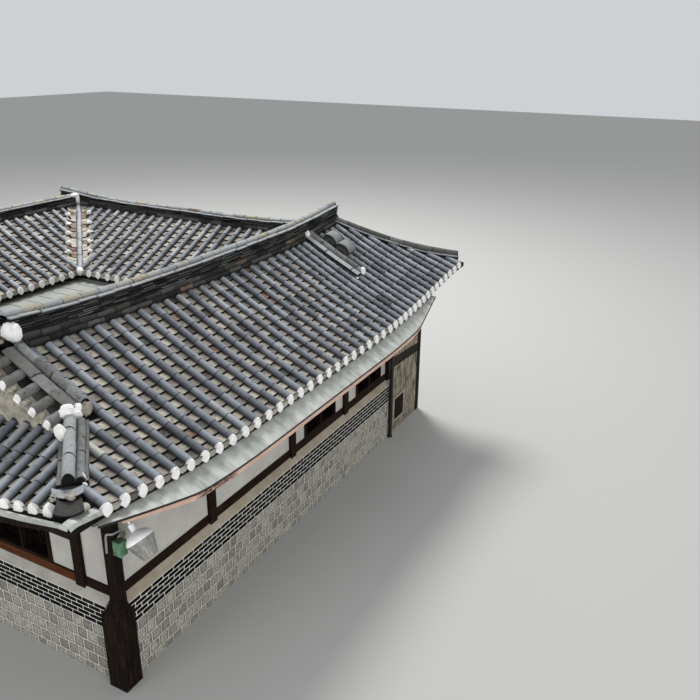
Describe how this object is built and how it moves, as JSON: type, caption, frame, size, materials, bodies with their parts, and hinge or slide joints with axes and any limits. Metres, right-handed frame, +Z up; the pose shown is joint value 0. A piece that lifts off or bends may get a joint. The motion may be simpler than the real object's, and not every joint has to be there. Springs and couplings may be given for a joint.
{
  "type": "hanok courtyard house",
  "caption": "Courtyard timber house with grey tiled hip-and-gable wings, lifted eaves, stone and black brick wall bases, white plaster panels and dark posts.",
  "frame": {"origin": "on the ground at the front left corner, where the outer faces of the front wall and of the left wall meet, under the corner post", "axes": "+X along the front wall to the right as seen from outside, +Y back into the house, +Z up"},
  "size_m": [10.4081, 11.41, 4.5183],
  "materials": {
    "roof_tile": "weathered fired clay",
    "ridge_tile": "weathered fired clay",
    "plaster": "smooth lime plaster",
    "timber": "dark stained",
    "masonry": "squared stone and black brick with pale joints",
    "rough_stone": "rough render",
    "sheet_metal": "streaked pale paint",
    "fascia_board": "painted board",
    "court_sheet": "weathered sheet",
    "window_glass": "dark",
    "lamp_metal": "bright",
    "painted_box": "dull paint",
    "pipe_iron": "black paint",
    "lamp_lens": "ribbed and dusty"
  },
  "bodies": {
    "root": {"roof_front_slope": "roof_tile", "roof_front_wing_court_slope": "roof_tile", "roof_front_wing_left_hip": "roof_tile", "roof_right_wing_court_slope": "roof_tile", "roof_right_wing_outer_slope": "roof_tile", "roof_rear_wing_court_slope": "roof_tile", "roof_rear_wing_back_slope": "roof_tile", "roof_rear_wing_left_hip": "roof_tile", "main_ridge_front": "ridge_tile", "main_ridge_right": "ridge_tile", "main_ridge_rear": "ridge_tile", "corner_ridge_front_left": "ridge_tile", "corner_ridge_front_wing_court": "ridge_tile", "corner_ridge_rear_wing_court": "ridge_tile", "corner_ridge_rear_left": "ridge_tile", "hip_ridge_front_right": "ridge_tile", "hip_ridge_rear_right": "ridge_tile", "descending_ridge_right": "ridge_tile", "gable_front_wing": "plaster", "gable_rear_wing": "plaster", "front_apron": "sheet_metal", "front_fascia": "fascia_board", "left_fascia": "timber", "courtyard_sheet": "court_sheet", "junction_box": "painted_box", "lamp_bracket": "lamp_metal", "lamp_shade": "lamp_metal", "lamp_lens": "lamp_lens", "masonry_base_front": "masonry", "ledge_front": "plaster", "timber_frame_front": "timber", "plaster_wall_front": "plaster", "window_front_1": "timber", "window_front_2": "timber", "window_glass_front": "window_glass", "stone_end_wall_front": "rough_stone", "masonry_base_left": "masonry", "ledge_left": "plaster", "timber_frame_left": "timber", "plaster_wall_left": "plaster", "window_left": "timber", "window_glass_left": "window_glass", "masonry_base_right": "masonry", "upper_wall_right": "plaster", "masonry_base_rear": "masonry", "upper_wall_rear": "plaster", "masonry_base_rear_left": "masonry", "upper_wall_rear_left": "plaster", "window_right": "timber", "window_rear": "timber", "far_corner_post": "timber", "down_pipe": "pipe_iron", "end_wall_hatch": "timber", "court_wall_front": "plaster", "court_wall_rear": "plaster", "court_wall_right": "plaster", "front_wing_floor": "timber", "right_wing_floor": "timber", "rear_wing_floor": "timber", "corner_post": "timber"}
  },
  "joints": []
}
